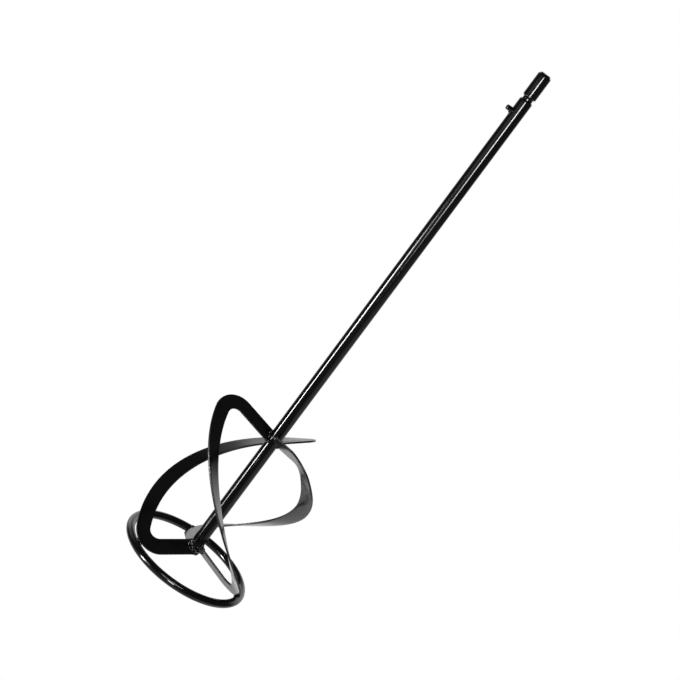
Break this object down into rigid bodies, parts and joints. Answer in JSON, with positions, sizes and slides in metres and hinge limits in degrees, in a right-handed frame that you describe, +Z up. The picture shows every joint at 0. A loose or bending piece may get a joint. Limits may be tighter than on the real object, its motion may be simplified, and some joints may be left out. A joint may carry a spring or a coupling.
{
  "type": "mortar mixing paddle",
  "caption": "Stirring tool for a hand mixer: long round shaft with a grooved shank end and side drive pin, a cage of twisted flat blades and a round foot ring, for mixing mortar.",
  "frame": {"origin": "on the shaft's axis, at the level of the foot ring's underside", "axes": "+Z runs up the shaft from the foot ring to the shank end; +X is the right-hand side of the view from the front, and the drive pin points to -X and a little to -Y"},
  "size_m": [0.1406, 0.1408, 0.6],
  "materials": {
    "shaft_paint": "gloss black paint on a turned steel rod",
    "blade_paint": "gloss black paint on flat steel bar",
    "ring_paint": "gloss black paint on bent round bar",
    "weld_paint": "gloss black paint over rough weld metal"
  },
  "bodies": {
    "root": {"blade_1": "blade_paint", "blade_2": "blade_paint", "blade_3": "blade_paint", "drive_pin": "shaft_paint", "drive_pin_weld": "weld_paint", "foot_hub_weld_1_lower": "weld_paint", "foot_hub_weld_1_upper": "weld_paint", "foot_hub_weld_2_lower": "weld_paint", "foot_hub_weld_2_upper": "weld_paint", "foot_hub_weld_3_lower": "weld_paint", "foot_hub_weld_3_upper": "weld_paint", "foot_ring": "ring_paint", "foot_ring_joint_weld": "weld_paint", "head_hub_weld_1_lower": "weld_paint", "head_hub_weld_1_upper": "weld_paint", "head_hub_weld_2_lower": "weld_paint", "head_hub_weld_2_upper": "weld_paint", "head_hub_weld_3_lower": "weld_paint", "head_hub_weld_3_upper": "weld_paint", "ring_weld_1": "weld_paint", "ring_weld_2": "weld_paint", "ring_weld_3": "weld_paint", "shaft": "shaft_paint", "shaft_end_weld": "weld_paint"}
  },
  "joints": []
}
